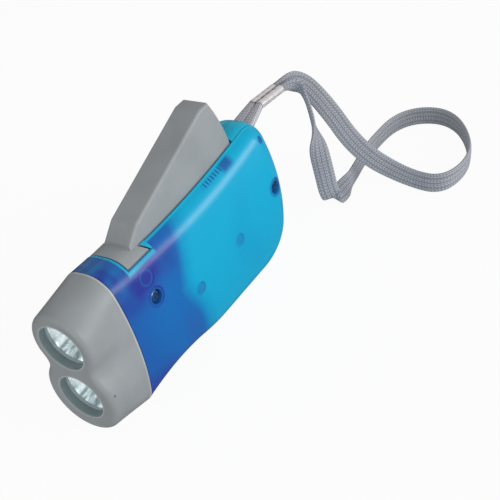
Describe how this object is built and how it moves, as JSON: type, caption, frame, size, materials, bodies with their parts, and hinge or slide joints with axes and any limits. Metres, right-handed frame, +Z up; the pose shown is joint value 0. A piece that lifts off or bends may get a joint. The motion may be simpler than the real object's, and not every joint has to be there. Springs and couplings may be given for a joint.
{
  "type": "squeeze-lever dynamo torch",
  "caption": "Hand-powered dynamo torch: squeeze lever, gear train, generator with flywheel, lamps in a bezel, translucent body, wrist strap.",
  "frame": {"origin": "on the ground under the middle of the body's length and width", "axes": "+X the way the lamps shine, +Z up towards the lever, +Y the side with the screw heads"},
  "size_m": [0.1933, 0.0683, 0.0713],
  "materials": {
    "shell_blue": "translucent, glossy",
    "grey_plastic": "satin",
    "clear_lens": "clear",
    "mirror_coat": "bright vacuum coat",
    "led_lens": "clear epoxy",
    "steel": "bright",
    "nickel": "nickel plated",
    "nylon": "natural nylon",
    "brass": "turned",
    "magnet": "ferrite",
    "lamination": "pressed",
    "winding": "enamelled copper",
    "black_plastic": "satin",
    "board_green": "solder mask",
    "red_sleeve": "wire insulation",
    "black_sleeve": "wire insulation",
    "strap_braid": "braided"
  },
  "bodies": {
    "housing": {"shell_right": "shell_blue", "shell_left": "shell_blue", "shell_screws": "steel", "head_bezel": "grey_plastic", "lens_upper": "clear_lens", "lens_lower": "clear_lens", "reflector_upper": "mirror_coat", "reflector_lower": "mirror_coat", "led_upper": "led_lens", "led_lower": "led_lens", "circuit_board": "board_green", "rectifier_diodes": "black_plastic", "button_cells": "steel", "battery_cradle": "black_plastic", "contact_plus": "nickel", "contact_minus": "nickel", "switch_body": "black_plastic", "lead_red": "red_sleeve", "lead_black": "black_sleeve", "lever_pin": "steel", "first_axle": "steel", "second_axle": "steel", "stator_core": "lamination", "coil_bobbin": "black_plastic", "coil_winding": "winding", "strap_bar": "steel", "strap_tail": "strap_braid", "strap_ferrule": "nickel", "strap_loop": "strap_braid"},
    "lever": {"squeeze_lever": "grey_plastic", "return_spring": "steel"},
    "first_wheel": {"first_pinion": "nylon", "first_gear": "nylon"},
    "second_wheel": {"second_pinion": "nylon", "second_gear": "nylon"},
    "rotor": {"rotor_shaft": "steel", "rotor_pinion": "brass", "flywheel": "steel", "ring_magnet": "magnet"},
    "switch_knob": {"switch_slider": "grey_plastic"}
  },
  "joints": [
    {"name": "lever_hinge", "type": "hinge", "parent": "housing", "child": "lever", "pos_m": [0.0226, 0, 0.0435], "axis": [0, -1, 0], "range_deg": [0, 20], "stiffness_Nm_per_rad": 0.3, "springref_deg": -8.59},
    {"name": "first_wheel_spin", "type": "hinge", "parent": "housing", "child": "first_wheel", "pos_m": [-0.01977, 0, 0.02638], "axis": [0, -1, 0], "range_deg": [-122.5, 0]},
    {"name": "second_wheel_spin", "type": "hinge", "parent": "housing", "child": "second_wheel", "pos_m": [0.00376, 0, 0.02459], "axis": [0, -1, 0], "range_deg": [0, 597.19]},
    {"name": "rotor_spin", "type": "hinge", "parent": "housing", "child": "rotor", "pos_m": [0.01641, 0, 0.0212], "axis": [0, -1, 0], "range_deg": [-1990.63, 0]},
    {"name": "switch_slide", "type": "slide", "parent": "housing", "child": "switch_knob", "axis": [1, 0, 0], "range_m": [0, 0.0025]}
  ],
  "couplings": [
    {"joint": "first_wheel_spin", "follows": "lever_hinge", "ratio": -6.125},
    {"joint": "second_wheel_spin", "follows": "lever_hinge", "ratio": 29.859},
    {"joint": "rotor_spin", "follows": "lever_hinge", "ratio": -99.531}
  ]
}
